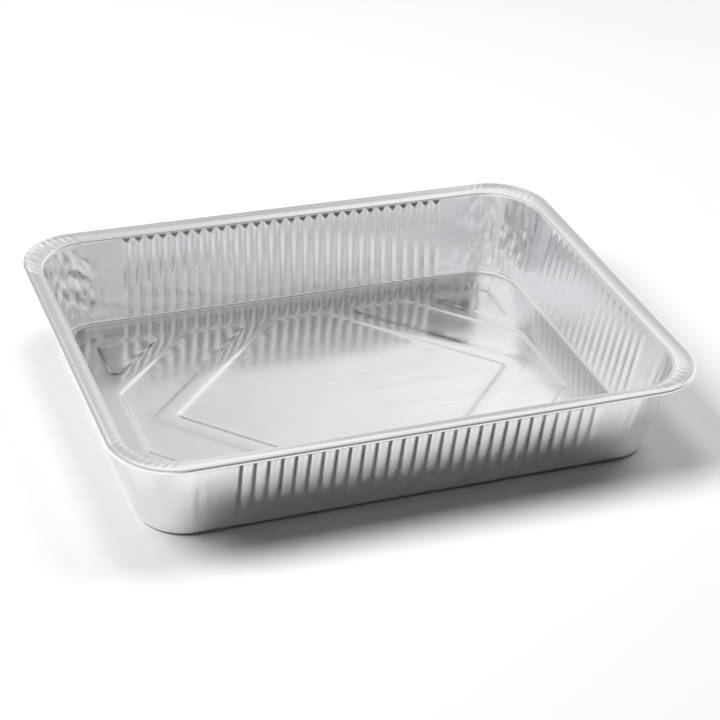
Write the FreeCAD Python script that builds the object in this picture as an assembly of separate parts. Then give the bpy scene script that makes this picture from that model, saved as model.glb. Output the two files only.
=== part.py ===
import FreeCAD, Part
import math
import os

# Aluminium foil tray, pressed from one sheet of foil. Millimetres, +Z up.
# The origin lies under the middle of the floor, on the plane that the tray stands on.
# The length runs along X and the width along Y.

# Outside sizes
rim_length = 322.0
rim_width = 242.0
rim_height = 53.1
rim_corner_radius = 33.6
sheet_thickness = 0.12

# Flange and rolled edge
flange_width = 10.1
flange_rise = 1.75
flange_sag = 0.4
mouth_corner_radius = 30.4
mouth_round = 0.8
bead_radius = 1.3
bead_turn = 235.0

# Walls
wall_inset = 7.8
floor_corner_radius = 25.5
floor_round = 1.6

# Flutes, pressed outward into the straight walls
flute_pitch = 7.15
flute_width = 5.8
flute_floor_width = 2.4
flute_depth = 1.6
flute_side_margin = 13.0
flute_end_gap = 0.4
flute_top_taper = 4.2
flute_foot_taper = 1.6

# The steep outer part of a flute's flank, as shares of the flank's width and of the flute's depth
steep_width_share = 0.53
steep_depth_share = 0.72

# Pleats, where the foil gathers round each corner
pleats_per_corner = 7
pleat_depth = 0.7
pleat_unevenness = 0.3
pleat_wander = 0.3

# Phase steps, in radians, that make the pleats differ: from crease to crease, corner to corner
# and level to level
depth_phases = (2.3, 1.7, 0.9)
wander_phases = (1.9, 2.6, 1.4)

# How strongly each corner is gathered, from +X +Y round by way of -X +Y
gather_strengths = (0.9, 1.2, 0.7, 0.7)

# Floor panels, pressed down between raised ribs
panel_depth = 0.4
panel_margin = 20.0
panel_ramp = 3.0
panel_corner_radius = 5.0
hexagon_flat = 34.0
hexagon_end_gap = 23.0
rib_width = 7.2
chevron_width = 30.0

# How finely the round stretches are stepped
floor_round_steps = 3
mouth_round_steps = 2
flange_steps = 3
bead_steps = 7
panel_corner_steps = 4

# Heights and lines that follow from the sizes above
floor_level = panel_depth + sheet_thickness
mouth_level = rim_height - flange_rise
floor_inset = flange_width + wall_inset
corner_cells = 2 * pleats_per_corner
half_field_length = rim_length / 2 - floor_inset - panel_margin
half_field_width = rim_width / 2 - floor_inset - panel_margin

# Heights of the creased rings on a corner, as shares of the wall, and how strong the creases are there
pleat_levels = ((0.06, 0.0), (0.28, 0.75), (0.55, 1.0), (0.80, 0.8), (0.96, 0.0))


def unit(vector):
    length = math.hypot(vector[0], vector[1])
    return (vector[0] / length, vector[1] / length)


def rounded_corner(before, corner, after, radius, steps):
    """Points of the arc that rounds a corner of a flat path."""
    to_before = unit((before[0] - corner[0], before[1] - corner[1]))
    to_after = unit((after[0] - corner[0], after[1] - corner[1]))
    cosine = to_before[0] * to_after[0] + to_before[1] * to_after[1]
    half_angle = math.acos(cosine) / 2
    bisector = unit((to_before[0] + to_after[0], to_before[1] + to_after[1]))
    reach = radius / math.sin(half_angle)
    centre = (corner[0] + bisector[0] * reach, corner[1] + bisector[1] * reach)
    sweep = math.pi - 2 * half_angle
    side = math.copysign(1.0, to_before[0] * to_after[1] - to_before[1] * to_after[0])
    points = []
    for step in range(steps + 1):
        turn = side * sweep * (0.5 - step / steps)
        away = (-bisector[0], -bisector[1])
        spoke = (away[0] * math.cos(turn) - away[1] * math.sin(turn),
                 away[0] * math.sin(turn) + away[1] * math.cos(turn))
        points.append((centre[0] + radius * spoke[0], centre[1] + radius * spoke[1]))
    return points


# The section of the sheet's upper skin, from the floor's edge up the wall, over the flange and
# round the rolled edge. A station is (inset from the rim's outer line, height, corner radius, crease).

def bead_tangent():
    """Angle on the rolled edge where the flange runs into it."""
    across = flange_width - bead_radius
    up = mouth_level - (rim_height - bead_radius)
    return math.atan2(up, across) + math.acos(bead_radius / math.hypot(across, up))


def bead_point(angle):
    return (bead_radius + bead_radius * math.cos(angle),
            rim_height - bead_radius + bead_radius * math.sin(angle))


def wall_corner_radius(inset):
    share = (floor_inset - inset) / wall_inset
    return floor_corner_radius + share * (mouth_corner_radius - floor_corner_radius)


def flange_corner_radius(inset):
    bead_edge = bead_point(bead_tangent())[0]
    share = (flange_width - inset) / (flange_width - bead_edge)
    return mouth_corner_radius + share * (rim_corner_radius - bead_edge - mouth_corner_radius)


def section_stations():
    floor_corner = (floor_inset, floor_level)
    mouth_corner = (flange_width, mouth_level)
    bead_start = bead_point(bead_tangent())
    inner_floor = (floor_inset + panel_margin, floor_level)
    foot = rounded_corner(inner_floor, floor_corner, mouth_corner, floor_round, floor_round_steps)
    mouth = rounded_corner(floor_corner, mouth_corner, bead_start, mouth_round, mouth_round_steps)
    stations = []
    for inset, height in foot:
        if inset > floor_inset:
            radius = floor_corner_radius - (inset - floor_inset)
        else:
            radius = wall_corner_radius(inset)
        stations.append((inset, height, radius, 0.0))
    low, high = foot[-1], mouth[0]
    for share, crease in pleat_levels:
        inset = low[0] + share * (high[0] - low[0])
        height = low[1] + share * (high[1] - low[1])
        stations.append((inset, height, wall_corner_radius(inset), crease))
    for inset, height in mouth:
        if inset > flange_width:
            radius = wall_corner_radius(inset)
        else:
            radius = flange_corner_radius(inset)
        stations.append((inset, height, radius, 0.0))
    flange_edge = mouth[-1]
    for step in range(1, flange_steps):
        share = step / flange_steps
        inset = flange_edge[0] + share * (bead_start[0] - flange_edge[0])
        height = flange_edge[1] + share * (bead_start[1] - flange_edge[1])
        height -= flange_sag * math.sin(math.pi * share)
        stations.append((inset, height, flange_corner_radius(inset), 0.0))
    for step in range(bead_steps + 1):
        angle = bead_tangent() + math.radians(bead_turn) * step / bead_steps
        inset, height = bead_point(angle)
        stations.append((inset, height, rim_corner_radius - inset, 0.0))
    return stations


def under_skin(stations):
    """The same stations on the sheet's under side, one thickness away."""
    floor_point = (stations[0][0] + panel_margin, stations[0][1])
    path = [floor_point] + [station[:2] for station in stations]
    normals = []
    for start, end in zip(path, path[1:]):
        along = unit((end[0] - start[0], end[1] - start[1]))
        normals.append((-along[1], along[0]))
    normals.append(normals[-1])
    result = []
    for (inset, height, radius, crease), first, second in zip(stations, normals, normals[1:]):
        scale = sheet_thickness / (1 + first[0] * second[0] + first[1] * second[1])
        new_inset = inset + scale * (first[0] + second[0])
        new_height = height + scale * (first[1] + second[1])
        result.append((new_inset, new_height, radius + inset - new_inset, crease))
    return result


# Rings: a station carried round the tray. A ring is four corners, each a list of points.

def wave(phases, cell, corner, level):
    return math.sin(phases[0] * cell + phases[1] * corner + phases[2] * level)


def crease_offset(cell, corner, level):
    """In-and-out shift of one crease, which differs from pleat to pleat."""
    swing = gather_strengths[corner] * (pleat_depth if cell % 2 else -pleat_depth)
    return swing * (1 - pleat_unevenness + pleat_unevenness * wave(depth_phases, cell, corner, level))


def crease_slant(cell, corner, level):
    """Sideways shift of one crease, in cells."""
    return pleat_wander * wave(wander_phases, cell, corner, level)


def ring(station, level=0):
    inset, height, radius, crease = station
    corners = []
    for corner, (side_x, side_y) in enumerate(((1, 1), (-1, 1), (-1, -1), (1, -1))):
        centre_x = side_x * (rim_length / 2 - inset - radius)
        centre_y = side_y * (rim_width / 2 - inset - radius)
        points = []
        for cell in range(corner_cells + 1):
            reach, place = radius, float(cell)
            if 0 < cell < corner_cells:
                reach += crease * crease_offset(cell, corner, level)
                place += crease * crease_slant(cell, corner, level)
            angle = math.radians(90.0 * (corner + place / corner_cells))
            points.append(FreeCAD.Vector(centre_x + reach * math.cos(angle),
                                         centre_y + reach * math.sin(angle), height))
        corners.append(points)
    return corners


def polygon_face(points):
    return Part.Face(Part.makePolygon(points + [points[0]]))


def corner_faces(low, high, creased):
    faces = []
    for low_corner, high_corner in zip(low, high):
        for cell in range(corner_cells):
            a, b = low_corner[cell], low_corner[cell + 1]
            c, d = high_corner[cell + 1], high_corner[cell]
            if creased:
                faces.append(polygon_face([a, b, c]))
                faces.append(polygon_face([a, c, d]))
            else:
                faces.append(polygon_face([a, b, c, d]))
    return faces


def side_faces(low, high):
    faces = []
    for corner in range(4):
        following = (corner + 1) % 4
        faces.append(polygon_face([low[corner][-1], low[following][0],
                                   high[following][0], high[corner][-1]]))
    return faces


# Flutes

def flute_section(under):
    """Points across a flute from edge to edge: sideways place, and depth from the wall's own plane."""
    edge = flute_width / 2
    floor_edge = flute_floor_width / 2
    bend = edge - steep_width_share * (edge - floor_edge)
    half = [(edge, 0.0), (bend, steep_depth_share * flute_depth), (floor_edge, flute_depth)]
    points = [(-sideways, depth) for sideways, depth in half] + half[::-1]
    if not under:
        return points
    path = [(-flute_pitch, 0.0)] + points + [(flute_pitch, 0.0)]
    normals = []
    for start, end in zip(path, path[1:]):
        along = unit((end[0] - start[0], end[1] - start[1]))
        normals.append((-along[1], along[0]))
    moved = []
    for (sideways, depth), first, second in zip(points, normals, normals[1:]):
        scale = sheet_thickness / (1 + first[0] * second[0] + first[1] * second[1])
        moved.append((sideways + scale * (first[0] + second[0]),
                      depth + scale * (first[1] + second[1]) - sheet_thickness))
    return moved


def flute_span(under):
    """Start below the wall's top edge, and length, of a flute on one skin of the sheet."""
    wall_length = math.hypot(wall_top[0] - wall_foot[0], wall_top[1] - wall_foot[1])
    start = flute_end_gap
    length = wall_length - 2 * flute_end_gap
    if under:
        top_shift = sheet_thickness * math.tan(math.atan2(flute_depth, flute_top_taper) / 2)
        foot_shift = sheet_thickness * math.tan(math.atan2(flute_depth, flute_foot_taper) / 2)
        start -= top_shift
        length += top_shift + foot_shift
    return start, length


def flute_faces(section_points, length):
    """One flute's trough and its two sloping ends, open along the plane of the wall.

    X runs across it, Y down the wall from its top end, and Z out of the wall.
    """
    top = []
    foot = []
    for sideways, depth in section_points:
        share = depth / flute_depth
        top.append(FreeCAD.Vector(sideways, share * flute_top_taper, depth))
        foot.append(FreeCAD.Vector(sideways, length - share * flute_foot_taper, depth))
    faces = [polygon_face(top), polygon_face(foot)]
    for step in range(len(top) - 1):
        faces.append(polygon_face([top[step], foot[step], foot[step + 1], top[step + 1]]))
    return faces


def fluted_wall(corner, rings, under):
    """The flat wall between two corners, with its row of flutes."""
    following = (corner + 1) % 4
    left = [level[corner][-1] for level in rings]
    right = [level[following][0] for level in rings]
    across = (left[0] - right[0]).normalize()
    top_middle = (left[-1] + right[-1]) / 2
    foot_middle = (left[0] + right[0]) / 2
    down = (foot_middle - top_middle).normalize()
    out = across.cross(down)
    start, length = flute_span(under)
    across_flute = flute_section(under)
    half_size = (rim_width if corner % 2 == 0 else rim_length) / 2
    flat_out = FreeCAD.Vector(-across.y, across.x, 0)
    origin = flat_out * (half_size - wall_top[0]) + FreeCAD.Vector(0, 0, wall_top[1])
    if under:
        origin += out * sheet_thickness
    straight = (left[0] - right[0]).Length - 2 * flute_side_margin
    count = int(straight / flute_pitch)
    patch = Part.Compound(flute_faces(across_flute, length))
    faces = []
    mouths = []
    for index in range(count):
        along = (index - (count - 1) / 2) * flute_pitch
        corner_point = origin + across * along + down * start
        turn = FreeCAD.Matrix(across.x, down.x, out.x, corner_point.x,
                              across.y, down.y, out.y, corner_point.y,
                              across.z, down.z, out.z, corner_point.z,
                              0, 0, 0, 1)
        flute = patch.copy()
        flute.Placement = FreeCAD.Placement(turn)
        faces += flute.Faces
        half = across * across_flute[-1][0]
        top, foot = corner_point, corner_point + down * length
        mouths.append(Part.makePolygon([top - half, top + half, foot + half, foot - half, top - half]))
    outline = Part.makePolygon(left + right[::-1] + [left[0]])
    faces.append(Part.makeFace([outline] + mouths, "Part::FaceMakerBullseye"))
    return faces


# Floor panels

def shrunk(points, distance):
    """A counter-clockwise outline with every side moved inward."""
    result = []
    for index, point in enumerate(points):
        before = points[index - 1]
        after = points[(index + 1) % len(points)]
        first = unit((point[0] - before[0], point[1] - before[1]))
        second = unit((after[0] - point[0], after[1] - point[1]))
        scale = distance / (1 + first[0] * second[0] + first[1] * second[1])
        result.append((point[0] - scale * (first[1] + second[1]),
                       point[1] + scale * (first[0] + second[0])))
    return result


def rounded_outline(points, inset, height):
    """Points of a counter-clockwise outline with rounded corners."""
    corners = shrunk(points, inset)
    outline = []
    for index, point in enumerate(corners):
        before = corners[index - 1]
        after = corners[(index + 1) % len(corners)]
        first = (point[0] - before[0], point[1] - before[1])
        second = (after[0] - point[0], after[1] - point[1])
        turns_left = first[0] * second[1] - first[1] * second[0] > 0
        radius = panel_corner_radius - inset if turns_left else panel_corner_radius + inset
        for x, y in rounded_corner(before, point, after, radius, panel_corner_steps):
            outline.append(FreeCAD.Vector(x, y, height))
    return outline


def mirrored(points, flip_x, flip_y):
    result = [(x * flip_x, y * flip_y) for x, y in points]
    return result[::-1] if flip_x * flip_y < 0 else result


def panel_outlines():
    """A long hexagon in the middle, a chevron at each end of it, and a triangle in each corner.

    Their slanting sides are parallel, so each is named by where its line meets the X axis.
    """
    end, side = half_field_length, half_field_width
    hexagon_tip = end - hexagon_end_gap
    run = hexagon_tip - hexagon_flat / 2
    stretch = math.hypot(run, side) / side
    chevron_inner = hexagon_tip + rib_width * stretch
    chevron_outer = chevron_inner + chevron_width * stretch
    triangle_line = chevron_outer + rib_width * stretch
    chevron_end = (chevron_outer - end) * side / run
    triangle_end = (triangle_line - end) * side / run
    hexagon = [(hexagon_tip, 0), (hexagon_tip - run, side), (run - hexagon_tip, side),
               (-hexagon_tip, 0), (run - hexagon_tip, -side), (hexagon_tip - run, -side)]
    chevron = [(chevron_inner, 0), (chevron_inner - run, -side), (chevron_outer - run, -side),
               (end, -chevron_end), (end, chevron_end),
               (chevron_outer - run, side), (chevron_inner - run, side)]
    triangle = [(end, side), (triangle_line - run, side), (end, triangle_end)]
    outlines = [hexagon, chevron, mirrored(chevron, -1, 1)]
    for flip_x in (1, -1):
        for flip_y in (1, -1):
            outlines.append(mirrored(triangle, flip_x, flip_y))
    return outlines


def floor_faces(edge_points, height):
    """One skin of the floor, with its panels pressed down from the given height."""
    faces = []
    mouths = []
    for points in panel_outlines():
        upper = rounded_outline(points, 0.0, height)
        lower = rounded_outline(points, panel_ramp, height - panel_depth)
        for index in range(len(upper)):
            following = (index + 1) % len(upper)
            faces.append(polygon_face([upper[index], upper[following], lower[following], lower[index]]))
        faces.append(polygon_face(lower))
        mouths.append(Part.makePolygon(upper + [upper[0]]))
    outline = Part.makePolygon(edge_points + [edge_points[0]])
    faces.append(Part.makeFace([outline] + mouths, "Part::FaceMakerBullseye"))
    return faces


# The two skins and the sheet

def skin_faces(stations, under):
    rings = [ring(station, level) for level, station in enumerate(stations)]
    low_wall = floor_round_steps
    high_wall = low_wall + len(pleat_levels) + 1
    faces = floor_faces([point for corner in rings[0] for point in corner], stations[0][1])
    for level in range(len(rings) - 1):
        creased = stations[level][3] > 0 or stations[level + 1][3] > 0
        faces += corner_faces(rings[level], rings[level + 1], creased)
        if not low_wall <= level < high_wall:
            faces += side_faces(rings[level], rings[level + 1])
    for corner in range(4):
        faces += fluted_wall(corner, rings[low_wall:high_wall + 1], under)
    return faces, rings[-1]


def foil_tray():
    upper, upper_edge = skin_faces(section, False)
    lower, lower_edge = skin_faces(under_skin(section), True)
    hem = corner_faces(lower_edge, upper_edge, False) + side_faces(lower_edge, upper_edge)
    shell = Part.makeShell(upper + lower + hem)
    shell.sewShape()
    solid = Part.makeSolid(shell)
    if solid.Volume < 0:
        solid.reverse()
    return solid


section = section_stations()
wall_foot = section[floor_round_steps]
wall_top = section[floor_round_steps + len(pleat_levels) + 1]

os.makedirs("parts", exist_ok=True)
foil_tray().exportStep("parts/foil_tray.step")
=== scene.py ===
import math

import bmesh
import bpy
from mathutils import Matrix, Vector, geometry, noise


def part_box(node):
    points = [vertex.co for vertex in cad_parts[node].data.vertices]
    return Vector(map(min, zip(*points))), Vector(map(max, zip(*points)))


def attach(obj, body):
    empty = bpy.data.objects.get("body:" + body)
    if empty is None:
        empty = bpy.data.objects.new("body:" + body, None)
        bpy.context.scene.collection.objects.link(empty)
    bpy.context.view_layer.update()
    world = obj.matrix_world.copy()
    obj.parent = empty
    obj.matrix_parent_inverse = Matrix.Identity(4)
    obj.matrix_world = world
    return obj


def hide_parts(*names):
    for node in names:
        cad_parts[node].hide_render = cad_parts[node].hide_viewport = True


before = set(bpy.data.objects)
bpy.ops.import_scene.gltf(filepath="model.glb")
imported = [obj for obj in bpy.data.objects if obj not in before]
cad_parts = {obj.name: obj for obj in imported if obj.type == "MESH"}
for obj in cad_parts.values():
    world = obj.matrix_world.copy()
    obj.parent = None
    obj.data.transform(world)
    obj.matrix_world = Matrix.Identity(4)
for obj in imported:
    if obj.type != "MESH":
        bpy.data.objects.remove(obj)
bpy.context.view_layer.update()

# The tray is drawn in millimetres, with the part's own sizes, and scaled to metres as a mesh.
MM = 0.001

# Sizes of the pressed sheet
(low_corner, high_corner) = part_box("foil_tray")
rim_length = (high_corner[0] - low_corner[0]) / MM
rim_width = (high_corner[1] - low_corner[1]) / MM
rim_height = high_corner[2] / MM
rim_corner_radius = 33.6
sheet_thickness = 0.12
flange_width = 10.1
flange_rise = 1.75
flange_sag = 0.4
mouth_corner_radius = 30.4
mouth_round = 0.8
bead_radius = 1.3
bead_turn = 235.0
wall_inset = 7.8
floor_corner_radius = 25.5
floor_round = 1.6

# Flutes: narrow ribs pressed inward along the flat walls, fading towards the foot
flute_pitch = 7.15
flute_depth = 1.6
flute_foot_share = 0.04
flute_short_wall_share = 0.55
flute_side_margin = 13.0
flute_top_gap = 0.15
flute_foot_gap = 0.4
flute_top_taper = 4.2
flute_foot_taper = 1.4

# Floor panels
panel_depth = 0.4
panel_margin = 20.0
panel_ramp = 3.0
panel_corner_radius = 5.0
hexagon_flat = 34.0
rib_width = 7.2
chevron_width = 30.0

# Lines that follow from those sizes
floor_level = panel_depth + sheet_thickness
mouth_level = rim_height - flange_rise
floor_inset = flange_width + wall_inset
half_field_length = rim_length / 2 - floor_inset - panel_margin
half_field_width = rim_width / 2 - floor_inset - panel_margin

# How finely the mesh is stepped
arc_cells = 64
margin_cells = 8
middle_cells = (30, 22)
wall_rows = 36
floor_round_steps = 5
mouth_round_steps = 4
flange_steps = 6
bead_steps = 12
panel_corner_steps = 6
panel_side_spacing = 4.0
floor_spacing = 6.0
floor_edge_clearance = 3.0
ramp_clearance = 1.5

# Insets at which a panel's sloping edge has points
ramp_insets = (-0.2, 0.5, 1.1, 1.7, 2.3, panel_ramp)

# Half of a flute's profile: distance from its middle line, and share of its depth
flute_profile = ((0.0, 1.0), (0.3, 0.96), (0.7, 0.85), (1.1, 0.69), (1.5, 0.52), (1.9, 0.35),
                 (2.25, 0.21), (2.6, 0.1), (2.95, 0.03), (3.25, 0.0), (3.575, 0.0))

# Corners in order: back right, back left, near left, near right. The back left one is gathered most.
corner_signs = ((1, 1), (-1, 1), (-1, -1), (1, -1))
pleat_strength = (0.55, 0.9, 0.35, 0.35)
crumple_strength = (0.65, 1.4, 0.3, 0.35)

# Pleats and dents of the gathered corners
relief_height = 50.0
pleat_pitch = 6.8
pleat_depth = 0.42
crease_gain = 1.3
flange_pleat_pitch = 4.1
flange_pleat_lift = 0.24
flange_wave_height = 0.1
bead_gather_pitch = 5.3
bead_gather_depth = 0.25
bead_drift_depth = 0.12
bead_clearance = 0.02

# Folds that cross in the dents: how far they run along and up, length of a fold, and depth
crumple_folds = ((1.0, 0.16, 9.0, 0.26), (1.0, -0.35, 6.5, 0.2), (0.8, 0.75, 11.0, 0.2),
                 (0.5, -1.0, 14.0, 0.16), (1.0, 0.05, 3.6, 0.1))

# Unevenness of the floor: greatest height, where it ends beside the wall, and over what width
floor_wave_height = 0.35
floor_wave_end = (132.0, 92.0)
floor_wave_fade = 8.0

# Single creases: corner, depth outward, half width, and points (distance along the mouth from the
# corner's middle, height above the foot of the wall)
creases = (
    (1, 0.45, 1.0, ((-17.5, 49.0), (-18.5, 43.0), (-23.5, 37.5), (-27.0, 33.0), (-27.0, 29.5))),
    (1, -0.4, 1.1, ((-17.0, 35.5), (-21.0, 30.5))),
    (1, 0.4, 1.2, ((-12.5, 33.0), (-14.0, 29.0))),
    (1, 0.5, 1.6, ((-18.0, 13.5), (-20.0, 10.5))),
    (1, -0.3, 1.4, ((-26.5, 24.0), (-28.0, 21.0))),
    (1, 0.5, 1.0, ((-8.0, 49.0), (-10.0, 30.0), (-9.0, 8.0))),
    (1, -0.4, 0.9, ((-13.0, 47.0), (-14.5, 24.0), (-13.0, 5.0))),
    (1, 0.35, 0.9, ((-3.0, 48.0), (-5.0, 20.0))),
    (0, 0.4, 1.2, ((21.0, 48.0), (29.0, 34.0))),
    (0, 0.45, 1.3, ((20.5, 12.0), (21.5, 8.0))),
    (0, -0.35, 1.0, ((7.0, 49.0), (8.0, 30.0), (6.5, 8.0))),
    (0, 0.35, 1.0, ((13.0, 48.0), (12.0, 20.0), (13.0, 6.0))),
    (0, -0.3, 1.0, ((-8.0, 48.0), (-7.0, 16.0))),
    (2, 0.25, 1.4, ((1.0, 40.0), (3.0, 6.0))),
    (2, -0.25, 1.2, ((-7.0, 44.0), (-5.0, 12.0))),
    (2, 0.25, 1.2, ((12.0, 46.0), (11.0, 18.0))),
    (3, -0.3, 1.2, ((2.0, 34.0), (-3.0, 6.0))),
    (3, 0.3, 1.0, ((-6.0, 28.0), (-9.0, 7.0))),
)

# Rings like a fingerprint in the back left corner
swirl_corner = 1
swirl_centre = (-24.0, 17.0)
swirl_pitch = 2.7
swirl_depth = 0.12
swirl_radii = (4.0, 14.0)


def unit(vector):
    length = math.hypot(vector[0], vector[1])
    return (vector[0] / length, vector[1] / length)


def smooth_step(value):
    value = min(max(value, 0.0), 1.0)
    return value * value * (3 - 2 * value)


def fold(value):
    """A wave of straight slopes between -1 and 1, as folded foil has."""
    return 4 * abs(value - math.floor(value + 0.5)) - 1


def drift(x, y, z):
    """A smooth uneven value, mostly between -1 and 1."""
    return noise.noise(Vector((x, y, z)))


def rounded_corner(before, corner, after, radius, steps):
    """Points of the arc that rounds a corner of a flat path."""
    to_before = unit((before[0] - corner[0], before[1] - corner[1]))
    to_after = unit((after[0] - corner[0], after[1] - corner[1]))
    half_angle = math.acos(to_before[0] * to_after[0] + to_before[1] * to_after[1]) / 2
    bisector = unit((to_before[0] + to_after[0], to_before[1] + to_after[1]))
    reach = radius / math.sin(half_angle)
    centre = (corner[0] + bisector[0] * reach, corner[1] + bisector[1] * reach)
    side = math.copysign(1.0, to_before[0] * to_after[1] - to_before[1] * to_after[0])
    points = []
    for step in range(steps + 1):
        turn = side * (math.pi - 2 * half_angle) * (0.5 - step / steps)
        spoke = (-bisector[0] * math.cos(turn) + bisector[1] * math.sin(turn),
                 -bisector[0] * math.sin(turn) - bisector[1] * math.cos(turn))
        points.append((centre[0] + radius * spoke[0], centre[1] + radius * spoke[1]))
    return points


# The section of the sheet. A station is (inset from the rim's outer line, height, corner radius).

def bead_tangent():
    """Angle on the rolled edge where the flange runs into it."""
    across = flange_width - bead_radius
    up = mouth_level - (rim_height - bead_radius)
    return math.atan2(up, across) + math.acos(bead_radius / math.hypot(across, up))


def bead_point(angle):
    return (bead_radius + bead_radius * math.cos(angle),
            rim_height - bead_radius + bead_radius * math.sin(angle))


def wall_corner_radius(inset):
    share = (floor_inset - inset) / wall_inset
    return floor_corner_radius + share * (mouth_corner_radius - floor_corner_radius)


def flange_corner_radius(inset):
    bead_edge = bead_point(bead_tangent())[0]
    share = (flange_width - inset) / (flange_width - bead_edge)
    return mouth_corner_radius + share * (rim_corner_radius - bead_edge - mouth_corner_radius)


def foot_stations():
    """From the floor's flat part round the fillet to the foot of the wall."""
    path = rounded_corner((floor_inset + panel_margin, floor_level), (floor_inset, floor_level),
                          (flange_width, mouth_level), floor_round, floor_round_steps)
    stations = []
    for inset, height in path:
        if inset > floor_inset:
            radius = floor_corner_radius - (inset - floor_inset)
        else:
            radius = wall_corner_radius(inset)
        stations.append((inset, height, radius))
    return stations


def rim_stations():
    """From the top of the wall round the mouth, over the flange and round the rolled edge."""
    bead_start = bead_point(bead_tangent())
    path = rounded_corner((floor_inset, floor_level), (flange_width, mouth_level),
                          bead_start, mouth_round, mouth_round_steps)
    last = path[-1]
    for step in range(1, flange_steps):
        share = step / flange_steps
        path.append((last[0] + share * (bead_start[0] - last[0]),
                     last[1] + share * (bead_start[1] - last[1])))
    stations = []
    for inset, height in path:
        if inset > flange_width:
            radius = wall_corner_radius(inset)
        else:
            radius = flange_corner_radius(inset)
        stations.append((inset, height, radius))
    for step in range(bead_steps + 1):
        inset, height = bead_point(bead_tangent() + math.radians(bead_turn) * step / bead_steps)
        stations.append((inset, height, rim_corner_radius - inset))
    return stations


# Columns run up the sheet. A column is (corner, turn round it, share of the side that follows it).

def side_length(corner):
    """Length of the straight side of the mouth that follows a corner."""
    return (rim_length if corner % 2 == 0 else rim_width) - 2 * (flange_width + mouth_corner_radius)


def side_shares(corner):
    middle = middle_cells[corner % 2]
    margin = flute_side_margin / side_length(corner)
    shares = [margin * step / margin_cells for step in range(margin_cells + 1)]
    shares += [margin + (1 - 2 * margin) * step / middle for step in range(1, middle)]
    shares += [1 - share for share in reversed(shares[1:margin_cells + 1])]
    return shares[1:]


def column_list():
    columns = []
    for corner in range(4):
        columns += [(corner, step / arc_cells, 0.0) for step in range(arc_cells + 1)]
        columns += [(corner, 1.0, share) for share in side_shares(corner)]
    return columns


def corner_point(corner, turn, inset, radius, reach):
    side_x, side_y = corner_signs[corner]
    angle = math.radians(90.0 * (corner + turn))
    return Vector((side_x * (rim_length / 2 - inset - radius) + (radius + reach) * math.cos(angle),
                   side_y * (rim_width / 2 - inset - radius) + (radius + reach) * math.sin(angle)))


def flat_point(column, inset, radius, reach=0.0):
    corner, turn, share = column
    point = corner_point(corner, turn, inset, radius, reach)
    if share:
        end = corner_point((corner + 1) % 4, 0.0, inset, radius, reach)
        point = point.lerp(end, share)
    return point


def around_corner(column):
    """Nearest corner, and distance along the mouth from its middle."""
    corner, turn, share = column
    arc = math.pi / 2 * mouth_corner_radius
    if not share:
        return corner, (turn - 0.5) * arc
    length = side_length(corner)
    if share < 0.5:
        return corner, arc / 2 + share * length
    return (corner + 1) % 4, -arc / 2 - (1 - share) * length


# Creases and waves in the foil

def corner_fade(distance):
    """1 round the corner, falling to 0 where the flutes begin."""
    half_arc = math.pi / 4 * mouth_corner_radius
    return 1 - smooth_step((abs(distance) - half_arc) / flute_side_margin)


def distance_to_path(x, y, path):
    point = Vector((x, y))
    nearest = math.inf
    for first, second in zip(path, path[1:]):
        start, side = Vector(first), Vector(second) - Vector(first)
        share = min(max((point - start).dot(side) / side.length_squared, 0.0), 1.0)
        nearest = min(nearest, (point - start - side * share).length)
    return nearest


def wall_relief(column, share):
    """Outward shift of the wall in millimetres, at a share of its height."""
    corner, distance = around_corner(column)
    fade = corner_fade(distance)
    if fade == 0:
        return 0.0
    height_fade = math.sin(math.pi * min(max(share, 0.0), 1.0)) ** 0.7
    wander = 1.6 * drift(distance * 0.05, share * 1.8, corner * 7.0)
    pleats = fold((distance + wander) / pleat_pitch + 0.25 * corner)
    uneven = 0.65 + 0.5 * drift(distance * 0.11, share * 1.2, corner * 3.0 + 20.0)
    relief = pleat_depth * pleats * uneven * pleat_strength[corner]
    tall = share * relief_height
    crumple = 0.0
    for step, (along, up, length, depth) in enumerate(crumple_folds):
        bend = 2.4 * drift(distance * 0.07, tall * 0.06, corner * 5.0 + step * 2.3)
        patch = 0.5 + drift(distance * 0.09, tall * 0.08, corner * 4.0 + step * 9.1)
        folds = fold((distance * along + tall * up + bend) / length + step * 0.37)
        crumple += depth * max(patch, 0.0) * folds
    relief += crumple * crumple_strength[corner]
    for crease_corner, depth, half_width, path in creases:
        if crease_corner == corner:
            away = distance_to_path(distance, tall, path) / half_width
            relief += crease_gain * depth * math.exp(-away ** 2)
    if corner == swirl_corner:
        inner, outer = swirl_radii
        radius = math.hypot(distance - swirl_centre[0], tall - swirl_centre[1])
        window = smooth_step((radius - inner) / 2.0) * smooth_step((outer - radius) / 3.0)
        facing = smooth_step((swirl_centre[0] - distance + 5.0) / 6.0)
        relief += swirl_depth * window * facing * math.cos(2 * math.pi * radius / swirl_pitch)
    return relief * fade * height_fade


def rim_relief(column, inset):
    """Lift of the flange in millimetres: it sags in its middle and is gathered at the corners."""
    corner, distance = around_corner(column)
    fade = corner_fade(distance)
    across = min(max((flange_width - inset) / flange_width, 0.0), 1.0)
    ripple = drift(distance * 0.25, across * 1.5, corner * 11.0)
    pinch = fold((distance + 1.5 * ripple) / flange_pleat_pitch + across * 0.4) * (0.5 + ripple)
    lift = flange_pleat_lift * pinch * crumple_strength[corner] * fade * math.sin(math.pi * across)
    wave = drift(distance * 0.02, across, corner * 2.0 + 40.0)
    return lift + (flange_wave_height * wave - flange_sag) * math.sin(math.pi * across)


def bead_pinch(column):
    """How far the rolled edge is drawn in, in millimetres: never outward."""
    corner, distance = around_corner(column)
    gathered = bead_gather_depth * crumple_strength[corner] * corner_fade(distance)
    ripple = drift(distance * 0.3, corner * 6.0, 60.0)
    broad = bead_drift_depth * max(0.5 + drift(distance * 0.05, corner * 6.0, 70.0), 0.0)
    return -(gathered * abs(fold(distance / bead_gather_pitch + ripple)) + broad + bead_clearance)


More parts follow.
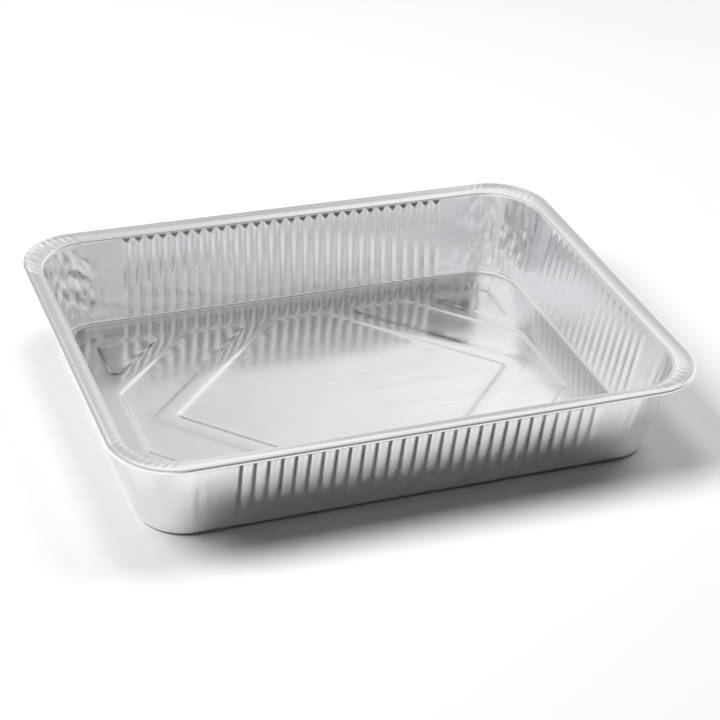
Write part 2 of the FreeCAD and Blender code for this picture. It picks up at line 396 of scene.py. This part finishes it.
def floor_wave(point, room):
    """Shallow unevenness of the floor, never above room and never below 0."""
    broad = drift(point.x * 0.018, point.y * 0.022, 3.0)
    fine = drift(point.x * 0.06, point.y * 0.07, 9.0)
    return room * min(max(0.5 + 0.6 * broad + 0.22 * fine, 0.0), 1.0)


# The mesh

class Sheet:
    """Points and faces of the foil's upper skin."""

    def __init__(self):
        self.points = []
        self.faces = []

    def add(self, flat, height):
        self.points.append(Vector((flat[0], flat[1], height)))
        return len(self.points) - 1

    def band(self, low, high, closed=False):
        """Quads between two rows of as many points."""
        count = len(low)
        for index in range(count if closed else count - 1):
            following = (index + 1) % count
            self.faces.append((low[index], low[following], high[following], high[index]))

    def zipper(self, low, high):
        """Triangles between two rows with different numbers of points, matched by distance."""
        low_marks = self.marks(low)
        high_marks = self.marks(high)
        i = j = 0
        while i < len(low) - 1 or j < len(high) - 1:
            step_low = j == len(high) - 1 or (i < len(low) - 1 and low_marks[i + 1] <= high_marks[j + 1])
            if step_low:
                self.faces.append((low[i], low[i + 1], high[j]))
                i += 1
            else:
                self.faces.append((low[i], high[j + 1], high[j]))
                j += 1

    def marks(self, row):
        """Distance along a row, as shares of its length."""
        total = 0.0
        marks = [0.0]
        for first, second in zip(row, row[1:]):
            total += (self.points[first] - self.points[second]).length
            marks.append(total)
        return [mark / total for mark in marks]


def add_ring(sheet, columns, station, lift=None, reach=None):
    """Points all round the sheet at one station."""
    inset, height, radius = station
    ring = []
    for column in columns:
        rise = lift(column, inset) if lift else 0.0
        shift = reach(column) if reach else 0.0
        ring.append(sheet.add(flat_point(column, inset, radius, shift), height + rise))
    return ring


def add_foot(sheet, columns):
    """The fillet round the floor. Returns its first and last ring of points."""
    rings = [add_ring(sheet, columns, station) for station in foot_stations()]
    for low, high in zip(rings, rings[1:]):
        sheet.band(low, high, closed=True)
    return rings[0], rings[-1]


def add_rim(sheet, columns):
    """The mouth's rounding, the flange and the rolled edge. Returns the ring at the top of the wall."""
    stations = rim_stations()
    last_flange = mouth_round_steps + flange_steps
    rings = []
    for index, station in enumerate(stations):
        lift = rim_relief if mouth_round_steps < index < last_flange else None
        reach = bead_pinch if index >= last_flange else None
        rings.append(add_ring(sheet, columns, station, lift, reach))
    for low, high in zip(rings, rings[1:]):
        sheet.band(low, high, closed=True)
    return rings[0]


def corner_columns(columns, corner):
    """Places in the ring of the columns that a corner's creased patch covers, margins included."""
    first = columns.index((corner, 0.0, 0.0))
    count = len(columns)
    return [(first + step) % count for step in range(-margin_cells, arc_cells + margin_cells + 1)]


def add_corner_wall(sheet, columns, corner, foot_ring, top_ring):
    """The creased wall round one corner. Returns its first and last column of points."""
    places = corner_columns(columns, corner)
    foot = foot_stations()[-1]
    top = rim_stations()[0]
    rows = [[foot_ring[place] for place in places]]
    for step in range(1, wall_rows):
        share = step / wall_rows
        inset = foot[0] + share * (top[0] - foot[0])
        height = foot[1] + share * (top[1] - foot[1])
        radius = wall_corner_radius(inset)
        row = []
        for place in places:
            reach = wall_relief(columns[place], share)
            row.append(sheet.add(flat_point(columns[place], inset, radius, reach), height))
        rows.append(row)
    rows.append([top_ring[place] for place in places])
    for low, high in zip(rows, rows[1:]):
        sheet.band(low, high)
    return [row[0] for row in rows], [row[-1] for row in rows]


def flute_share(across):
    """Share of a flute's depth at a distance from its middle line."""
    for (near, high), (far, low) in zip(flute_profile, flute_profile[1:]):
        if across <= far:
            return high + (low - high) * (across - near) / (far - near)
    return 0.0


def flute_depth_at(across, down, length):
    """Depth of the flute at a place across it and down it."""
    fade = 1 - (1 - flute_foot_share) * down / length
    round_depth = flute_depth * fade * flute_share(abs(across))
    top_slope = flute_depth * down / flute_top_taper
    foot_slope = flute_depth * (length - down) / flute_foot_taper
    return max(min(round_depth, top_slope, foot_slope), 0.0)


def flute_rows(across, length):
    """Distances down a flute for the points of one column: they follow the edges of its ends."""
    depth_share = flute_share(abs(across))
    top = max(flute_top_taper * depth_share * 0.95, 0.8)
    foot = length - max(flute_foot_taper * depth_share * flute_foot_share, 0.3)
    below_top, above_foot = 0.25, 0.4
    middle = foot - top - (below_top + above_foot)
    rows = [0.0, 0.2, 0.5 * top, top - 0.15, top + below_top]
    rows += [top + below_top + middle * step / 3 for step in range(1, 3)]
    return rows + [foot - above_foot, foot, (foot + length) / 2, length]


flute_half_columns = [across for across, _ in flute_profile[1:-1]]
flute_columns = [-across for across in reversed(flute_half_columns)] + [0.0] + flute_half_columns


def add_fluted_wall(sheet, side, left, right, top_row, foot_row):
    """The flat wall between two corners, its flutes pressed inward.

    left, right, top_row and foot_row are the points along its edges.
    """
    turn = math.radians(90.0 * (side + 1))
    outward = Vector((math.cos(turn), math.sin(turn), 0.0))
    along = Vector((-outward.y, outward.x, 0.0))
    half_size = (rim_width if side % 2 == 0 else rim_length) / 2
    foot = foot_stations()[-1]
    top = rim_stations()[0]
    slope = Vector((foot[0] - top[0], foot[1] - top[1]))
    down = (slope.y * Vector((0, 0, 1)) - slope.x * outward).normalized()
    out = along.cross(down)
    if out.dot(outward) < 0:
        out.negate()
    origin = outward * (half_size - top[0]) + Vector((0, 0, top[1])) + down * flute_top_gap
    length = slope.length - flute_top_gap - flute_foot_gap
    floor_straight = (rim_length if side % 2 == 0 else rim_width) - 2 * (floor_inset + floor_corner_radius)
    count = int((floor_straight - 2 * flute_side_margin) / flute_pitch) - 1
    places = [-count / 2 * flute_pitch]
    for index in range(count):
        middle = (index - (count - 1) / 2) * flute_pitch
        places += [middle + place for place in flute_columns]
        places.append(middle + flute_pitch / 2)
    strength = flute_short_wall_share if side % 2 else 1.0
    grid = []
    for place in places:
        across = (place + count / 2 * flute_pitch) % flute_pitch - flute_pitch / 2
        column = []
        for distance in flute_rows(across, length):
            depth = strength * flute_depth_at(across, distance, length)
            point = origin + along * place + down * distance - out * depth
            column.append(sheet.add(point, point.z))
        grid.append(column)
    for first, second in zip(grid, grid[1:]):
        sheet.band(first, second)
    sheet.zipper(top_row, [column[0] for column in grid])
    sheet.zipper([column[-1] for column in grid], foot_row)
    sheet.zipper(grid[0][::-1], left)
    sheet.zipper(right, grid[-1][::-1])


def add_walls(sheet, columns, foot_ring, top_ring):
    edges = [add_corner_wall(sheet, columns, corner, foot_ring, top_ring) for corner in range(4)]
    for side in range(4):
        following = (side + 1) % 4
        first = columns.index((side, 1.0, 0.0)) + margin_cells
        count = middle_cells[side % 2] + 1
        places = [(first + step) % len(columns) for step in range(count)]
        add_fluted_wall(sheet, side, edges[side][1], edges[following][0],
                        [top_ring[place] for place in places],
                        [foot_ring[place] for place in places])


# The floor

def shrunk(points, distance):
    """A counter-clockwise outline with every side moved inward."""
    result = []
    for index, point in enumerate(points):
        before = points[index - 1]
        after = points[(index + 1) % len(points)]
        first = unit((point[0] - before[0], point[1] - before[1]))
        second = unit((after[0] - point[0], after[1] - point[1]))
        scale = distance / (1 + first[0] * second[0] + first[1] * second[1])
        result.append((point[0] - scale * (first[1] + second[1]),
                       point[1] + scale * (first[0] + second[0])))
    return result


def panel_contour(points, inset):
    """Points of a panel's outline, rounded and moved inward, with points along its straight sides."""
    corners = shrunk(points, inset)
    outline = []
    for index, point in enumerate(corners):
        before = corners[index - 1]
        after = corners[(index + 1) % len(corners)]
        first = (point[0] - before[0], point[1] - before[1])
        second = (after[0] - point[0], after[1] - point[1])
        turns_left = first[0] * second[1] - first[1] * second[0] > 0
        radius = panel_corner_radius - inset if turns_left else panel_corner_radius + inset
        outline.append(rounded_corner(before, point, after, radius, panel_corner_steps))
    result = []
    for index, arc in enumerate(outline):
        result += arc
        start, end = arc[-1], outline[(index + 1) % len(outline)][0]
        steps = int(math.dist(start, end) / panel_side_spacing)
        for step in range(1, steps):
            share = step / steps
            result.append((start[0] + share * (end[0] - start[0]), start[1] + share * (end[1] - start[1])))
    return result


def mirrored(points, flip_x, flip_y):
    result = [(x * flip_x, y * flip_y) for x, y in points]
    return result[::-1] if flip_x * flip_y < 0 else result


def panel_outlines():
    """A long hexagon, a chevron at each end of it, and a triangle in each corner.

    Their slanting sides lie at 45 degrees, so each is named by where its line meets the X axis.
    """
    hexagon_tip = half_field_width + hexagon_flat / 2
    chevron_inner = hexagon_tip + rib_width * math.sqrt(2)
    chevron_outer = chevron_inner + chevron_width * math.sqrt(2)
    triangle_line = chevron_outer + rib_width * math.sqrt(2)
    end, side = half_field_length, half_field_width
    hexagon = [(hexagon_tip, 0), (hexagon_tip - side, side), (side - hexagon_tip, side),
               (-hexagon_tip, 0), (side - hexagon_tip, -side), (hexagon_tip - side, -side)]
    chevron = [(chevron_inner, 0), (chevron_inner - side, -side), (chevron_outer - side, -side),
               (end, end - chevron_outer), (end, chevron_outer - end),
               (chevron_outer - side, side), (chevron_inner - side, side)]
    triangle = [(end, side), (triangle_line - side, side), (end, triangle_line - end)]
    outlines = [hexagon, chevron, mirrored(chevron, -1, 1)]
    for flip_x in (1, -1):
        for flip_y in (1, -1):
            outlines.append(mirrored(triangle, flip_x, flip_y))
    return outlines


def distance_inside(outline, point):
    """Distance from a point to an outline, counted positive inside it."""
    nearest = math.inf
    inside = False
    for first, second in zip(outline, outline[1:] + outline[:1]):
        start, end = Vector(first), Vector(second)
        side = end - start
        share = min(max((point - start).dot(side) / side.length_squared, 0.0), 1.0)
        nearest = min(nearest, (point - start - side * share).length)
        if (start.y > point.y) != (end.y > point.y):
            if point.x < start.x + side.x * (point.y - start.y) / side.y:
                inside = not inside
    return nearest if inside else -nearest


def add_floor(sheet, edge_ring):
    """The floor inside its fillet, with its panels pressed down."""
    flat = [sheet.points[index].xy for index in edge_ring]
    levels = [floor_level] * len(flat)
    links = [(index, (index + 1) % len(flat)) for index in range(len(flat))]
    outlines = panel_outlines()
    for outline in outlines:
        for inset in ramp_insets:
            share = (inset - ramp_insets[0]) / (ramp_insets[-1] - ramp_insets[0])
            contour = panel_contour(outline, inset)
            start = len(flat)
            for index, point in enumerate(contour):
                flat.append(Vector(point))
                levels.append(floor_level - panel_depth * smooth_step(share))
                links.append((start + index, start + (index + 1) % len(contour)))
    half_length = rim_length / 2 - floor_inset
    half_width = rim_width / 2 - floor_inset
    columns = int(half_length / floor_spacing)
    rows = int(half_width / floor_spacing)
    for column in range(-columns, columns + 1):
        for row in range(-rows, rows + 1):
            point = Vector((column * floor_spacing, (row + 0.5 * (column % 2)) * floor_spacing))
            beyond_x = abs(point.x) - (half_length - floor_corner_radius)
            beyond_y = abs(point.y) - (half_width - floor_corner_radius)
            reach = math.hypot(max(beyond_x, 0.0), max(beyond_y, 0.0))
            if reach > floor_corner_radius - floor_round - floor_edge_clearance:
                continue
            inside = max(distance_inside(outline, point) for outline in outlines)
            if ramp_insets[0] - ramp_clearance < inside < ramp_insets[-1] + ramp_clearance:
                continue
            flat.append(point)
            levels.append(floor_level - panel_depth if inside > 0 else floor_level)
    vertices, _, faces, vertex_origins, _, _ = geometry.delaunay_2d_cdt(flat, links, [], 0, 1e-6)
    ids = []
    for vertex, origins in zip(vertices, vertex_origins):
        origin = origins[0]
        if origin < len(edge_ring):
            ids.append(edge_ring[origin])
        else:
            beyond = max(abs(vertex.x) - floor_wave_end[0], abs(vertex.y) - floor_wave_end[1])
            edge_fade = smooth_step(-beyond / floor_wave_fade)
            wave = edge_fade * floor_wave(vertex, floor_wave_height)
            ids.append(sheet.add(vertex, levels[origin] + wave))
    for face in faces:
        a, b, c = (vertices[index] for index in face)
        if abs((b - a).cross(c - a)) > 1e-3:
            sheet.faces.append(tuple(ids[index] for index in face))


def foil_mesh():
    """The upper skin as one mesh in metres, its floor facing up."""
    sheet = Sheet()
    columns = column_list()
    floor_ring, foot_ring = add_foot(sheet, columns)
    top_ring = add_rim(sheet, columns)
    add_walls(sheet, columns, foot_ring, top_ring)
    add_floor(sheet, floor_ring)
    mesh = bpy.data.meshes.new("foil_sheet")
    mesh.from_pydata([point * MM for point in sheet.points], [], sheet.faces)
    work = bmesh.new()
    work.from_mesh(mesh)
    bmesh.ops.recalc_face_normals(work, faces=work.faces)
    lowest = min(work.faces, key=lambda face: face.calc_center_median().z)
    if lowest.normal.z < 0:
        bmesh.ops.reverse_faces(work, faces=work.faces)
    work.to_mesh(mesh)
    work.free()
    mesh.shade_smooth()
    return mesh


# Materials

def add_node(tree, kind, sockets=None, **settings):
    """A shader node with these settings and these values on its sockets."""
    node = tree.nodes.new(kind)
    for name, value in settings.items():
        setattr(node, name, value)
    for name, value in (sockets or {}).items():
        node.inputs[name].default_value = value
    return node


def foil_material():
    """Bright rolled aluminium: satin, with fine lines along the direction it was rolled in."""
    material = bpy.data.materials.new("rolled_foil")
    material.use_nodes = True
    tree = material.node_tree
    links = tree.links
    shader = tree.nodes["Principled BSDF"]
    shader.inputs["Metallic"].default_value = 1.0
    place = add_node(tree, "ShaderNodeTexCoord")
    stretch = add_node(tree, "ShaderNodeMapping", {"Scale": (6.0, 900.0, 900.0)})
    links.new(place.outputs["Object"], stretch.inputs["Vector"])
    lines = add_node(tree, "ShaderNodeTexNoise", {"Scale": 1.0, "Detail": 3.0})
    links.new(stretch.outputs["Vector"], lines.inputs["Vector"])
    clouds = add_node(tree, "ShaderNodeTexNoise", {"Scale": 22.0, "Detail": 4.0})
    links.new(place.outputs["Object"], clouds.inputs["Vector"])
    tint = add_node(tree, "ShaderNodeMix", {"A": (0.86, 0.87, 0.885, 1.0), "B": (0.93, 0.935, 0.94, 1.0)},
                    data_type="RGBA")
    links.new(clouds.outputs["Fac"], tint.inputs["Factor"])
    links.new(tint.outputs["Result"], shader.inputs["Base Color"])
    rough = add_node(tree, "ShaderNodeMapRange",
                     {"From Min": 0.3, "From Max": 0.7, "To Min": 0.13, "To Max": 0.22})
    links.new(lines.outputs["Fac"], rough.inputs["Value"])
    links.new(rough.outputs["Result"], shader.inputs["Roughness"])
    bump = add_node(tree, "ShaderNodeBump", {"Strength": 0.08, "Distance": 0.0002})
    links.new(lines.outputs["Fac"], bump.inputs["Height"])
    links.new(bump.outputs["Normal"], shader.inputs["Normal"])
    return material


def add_seen_share(tree):
    """1 for rays that see the background straight, in metal or through glass, else 0.

    Rays that have left a matt surface get 0 too.
    """
    path = add_node(tree, "ShaderNodeLightPath")
    first = add_node(tree, "ShaderNodeMath", operation="ADD")
    tree.links.new(path.outputs["Is Camera Ray"], first.inputs[0])
    tree.links.new(path.outputs["Is Glossy Ray"], first.inputs[1])
    second = add_node(tree, "ShaderNodeMath", operation="ADD", use_clamp=True)
    tree.links.new(first.outputs[0], second.inputs[0])
    tree.links.new(path.outputs["Is Transmission Ray"], second.inputs[1])
    direct = add_node(tree, "ShaderNodeMath", {1: 0.5}, operation="LESS_THAN")
    tree.links.new(path.outputs["Diffuse Depth"], direct.inputs[0])
    share = add_node(tree, "ShaderNodeMath", operation="MULTIPLY")
    tree.links.new(second.outputs[0], share.inputs[0])
    tree.links.new(direct.outputs[0], share.inputs[1])
    return share.outputs[0]


# The studio, in metres

# The table: half its length, how far it lies below the tray, its grey level, and the distances from
# the tray between which the lit table gives way to plain white
table_half_length = 4.0
table_gap = 0.0002
table_level = 0.94
plain_table = (0.6, 1.2)

# How the white surroundings dim with height, from the horizon to overhead
upward_levels = ((0.0, 1.0), (0.73, 1.0), (0.8, 0.85), (0.88, 0.62), (1.0, 0.5))

# Darker patches of the surroundings: azimuth, elevation, inner and outer radius in degrees, grey level.
# Azimuth 0 is behind the tray (+Y) and 90 to its right (+X).
dark_patches = (
    (140, 25, 38, 54, 0.53),
    (157, 34, 10, 15, 0.12),
    (-5, 36, 12, 27, 0.6),
    (31, 52, 3, 8, 0.57),
    (115, 38, 12, 21, 0.4),
    (337, 30, 10, 20, 0.72),
    (25, 22, 4.5, 8.5, 0.55),
)

# Strength of the surroundings for matt surfaces, which the lamps light, and for what sees them
matt_strength = 0.02
seen_strength = 1.0

# Lamps for the table: name, range of azimuths and of elevations in degrees, radiance
lamp_distance = 1.8
table_lamps = (
    ("table_left", (-100, -62), (38, 65), 13.0),
    ("table_right", (62, 98), (38, 65), 6.0),
    ("table_back", (-30, 30), (62, 88), 5.5),
)


def direction(azimuth, elevation):
    turn, lift = math.radians(azimuth), math.radians(elevation)
    return Vector((math.sin(turn) * math.cos(lift), math.cos(turn) * math.cos(lift), math.sin(lift)))


def add_table():
    """A matt table that keeps the tray's shadow and turns plain white farther out."""
    bpy.ops.mesh.primitive_plane_add(size=2 * table_half_length, location=(0, 0, -table_gap))
    floor = bpy.context.object
    floor.name = "studio_floor"
    material = bpy.data.materials.new("studio_floor")
    material.use_nodes = True
    tree = material.node_tree
    links = tree.links
    shader = tree.nodes["Principled BSDF"]
    shader.inputs["Base Color"].default_value = (table_level, table_level, table_level, 1.0)
    shader.inputs["Roughness"].default_value = 1.0
    shader.inputs["Specular IOR Level"].default_value = 0.0
    place = add_node(tree, "ShaderNodeTexCoord")
    away = add_node(tree, "ShaderNodeVectorMath", operation="LENGTH")
    links.new(place.outputs["Object"], away.inputs[0])
    fade = add_node(tree, "ShaderNodeMapRange", {"From Min": plain_table[0], "From Max": plain_table[1]},
                    interpolation_type="SMOOTHSTEP")
    links.new(away.outputs["Value"], fade.inputs["Value"])
    white = add_node(tree, "ShaderNodeEmission")
    links.new(add_seen_share(tree), white.inputs["Strength"])
    blend = add_node(tree, "ShaderNodeMixShader")
    links.new(fade.outputs["Result"], blend.inputs[0])
    links.new(shader.outputs[0], blend.inputs[1])
    links.new(white.outputs[0], blend.inputs[2])
    links.new(blend.outputs[0], tree.nodes["Material Output"].inputs["Surface"])
    floor.data.materials.append(material)


def add_ramp(tree, source, levels):
    """A grey ramp: levels are (position, grey level)."""
    ramp = add_node(tree, "ShaderNodeValToRGB")
    tree.links.new(source, ramp.inputs[0])
    elements = ramp.color_ramp.elements
    for element, (position, level) in zip(elements, (levels[0], levels[-1])):
        element.position = position
        element.color = (level, level, level, 1.0)
    for position, level in levels[1:-1]:
        element = elements.new(position)
        element.color = (level, level, level, 1.0)
    return ramp.outputs["Color"]


def set_world():
    """White surroundings for the metal, dimmer overhead and in patches. The camera sees plain white."""
    world = bpy.data.worlds.new("studio")
    bpy.context.scene.world = world
    world.use_nodes = True
    tree = world.node_tree
    links = tree.links
    background = tree.nodes["Background"]
    place = add_node(tree, "ShaderNodeTexCoord")
    parts = add_node(tree, "ShaderNodeSeparateXYZ")
    links.new(place.outputs["Generated"], parts.inputs[0])
    light = add_ramp(tree, parts.outputs["Z"], upward_levels)
    for azimuth, elevation, inner, outer, level in dark_patches:
        toward = add_node(tree, "ShaderNodeVectorMath", operation="DOT_PRODUCT")
        toward.inputs[1].default_value = direction(azimuth, elevation)
        links.new(place.outputs["Generated"], toward.inputs[0])
        dimmer = add_node(tree, "ShaderNodeMapRange",
                          {"From Min": math.cos(math.radians(outer)),
                           "From Max": math.cos(math.radians(inner)),
                           "To Min": 1.0, "To Max": level},
                          interpolation_type="SMOOTHSTEP")
        links.new(toward.outputs["Value"], dimmer.inputs["Value"])
        product = add_node(tree, "ShaderNodeMix", {"Factor": 1.0}, data_type="RGBA", blend_type="MULTIPLY")
        links.new(light, product.inputs["A"])
        links.new(dimmer.outputs["Result"], product.inputs["B"])
        light = product.outputs["Result"]
    path = add_node(tree, "ShaderNodeLightPath")
    backdrop = add_node(tree, "ShaderNodeMix", {"B": (1.0, 1.0, 1.0, 1.0)}, data_type="RGBA")
    links.new(path.outputs["Is Camera Ray"], backdrop.inputs["Factor"])
    links.new(light, backdrop.inputs["A"])
    links.new(backdrop.outputs["Result"], background.inputs["Color"])
    strength = add_node(tree, "ShaderNodeMapRange", {"To Min": matt_strength, "To Max": seen_strength})
    links.new(add_seen_share(tree), strength.inputs["Value"])
    links.new(strength.outputs["Result"], background.inputs["Strength"])


def add_table_lamp(name, azimuths, elevations, radiance):
    """A soft lamp for the table, which the metal doesn't mirror.

    It faces the tray and fills that range of directions, in degrees, as seen from the tray.
    """
    azimuth = sum(azimuths) / 2
    elevation = sum(elevations) / 2
    data = bpy.data.lights.new(name, "AREA")
    data.shape = "RECTANGLE"
    half_width = math.tan(math.radians(azimuths[1] - azimuths[0]) / 2) * math.cos(math.radians(elevation))
    half_height = math.tan(math.radians(elevations[1] - elevations[0]) / 2)
    data.size = 2 * lamp_distance * half_width
    data.size_y = 2 * lamp_distance * half_height
    data.energy = radiance * math.pi * data.size * data.size_y
    lamp = bpy.data.objects.new(name, data)
    bpy.context.collection.objects.link(lamp)
    lamp.location = direction(azimuth, elevation) * lamp_distance
    lamp.rotation_euler = direction(azimuth, elevation).to_track_quat("Z", "Y").to_euler()
    lamp.visible_glossy = False


def add_camera():
    """The photograph's view, solved on the rim, the floor's edge and the flutes."""
    place = Vector((-0.35813, -0.85254, 0.60404))
    target = Vector((0.00599, -0.00250, 0.02049))
    roll = math.radians(4.290)
    forward = (target - place).normalized()
    right = forward.cross(Vector((0, 0, 1))).normalized()
    up = right.cross(forward)
    camera_x = right * math.cos(roll) + up * math.sin(roll)
    camera_y = up * math.cos(roll) - right * math.sin(roll)
    data = bpy.data.cameras.new("photo_view")
    data.sensor_width = 36.0
    data.lens = 98.83
    data.clip_end = 50.0
    camera = bpy.data.objects.new("photo_view", data)
    bpy.context.collection.objects.link(camera)
    turn = Matrix((camera_x, camera_y, -forward)).transposed()
    camera.matrix_world = Matrix.Translation(place) @ turn.to_4x4()
    bpy.context.scene.camera = camera


def add_tray():
    """The one piece: its upper skin, made as thick as the foil downward."""
    tray = bpy.data.objects.new("foil_sheet", foil_mesh())
    bpy.context.collection.objects.link(tray)
    tray.data.materials.append(foil_material())
    skin = tray.modifiers.new("sheet", "SOLIDIFY")
    skin.thickness = sheet_thickness * MM
    skin.offset = -1.0
    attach(tray, "root")
    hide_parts("foil_tray")


add_tray()
add_table()
set_world()
for table_lamp in table_lamps:
    add_table_lamp(*table_lamp)
add_camera()
bpy.context.scene.view_settings.view_transform = "Standard"
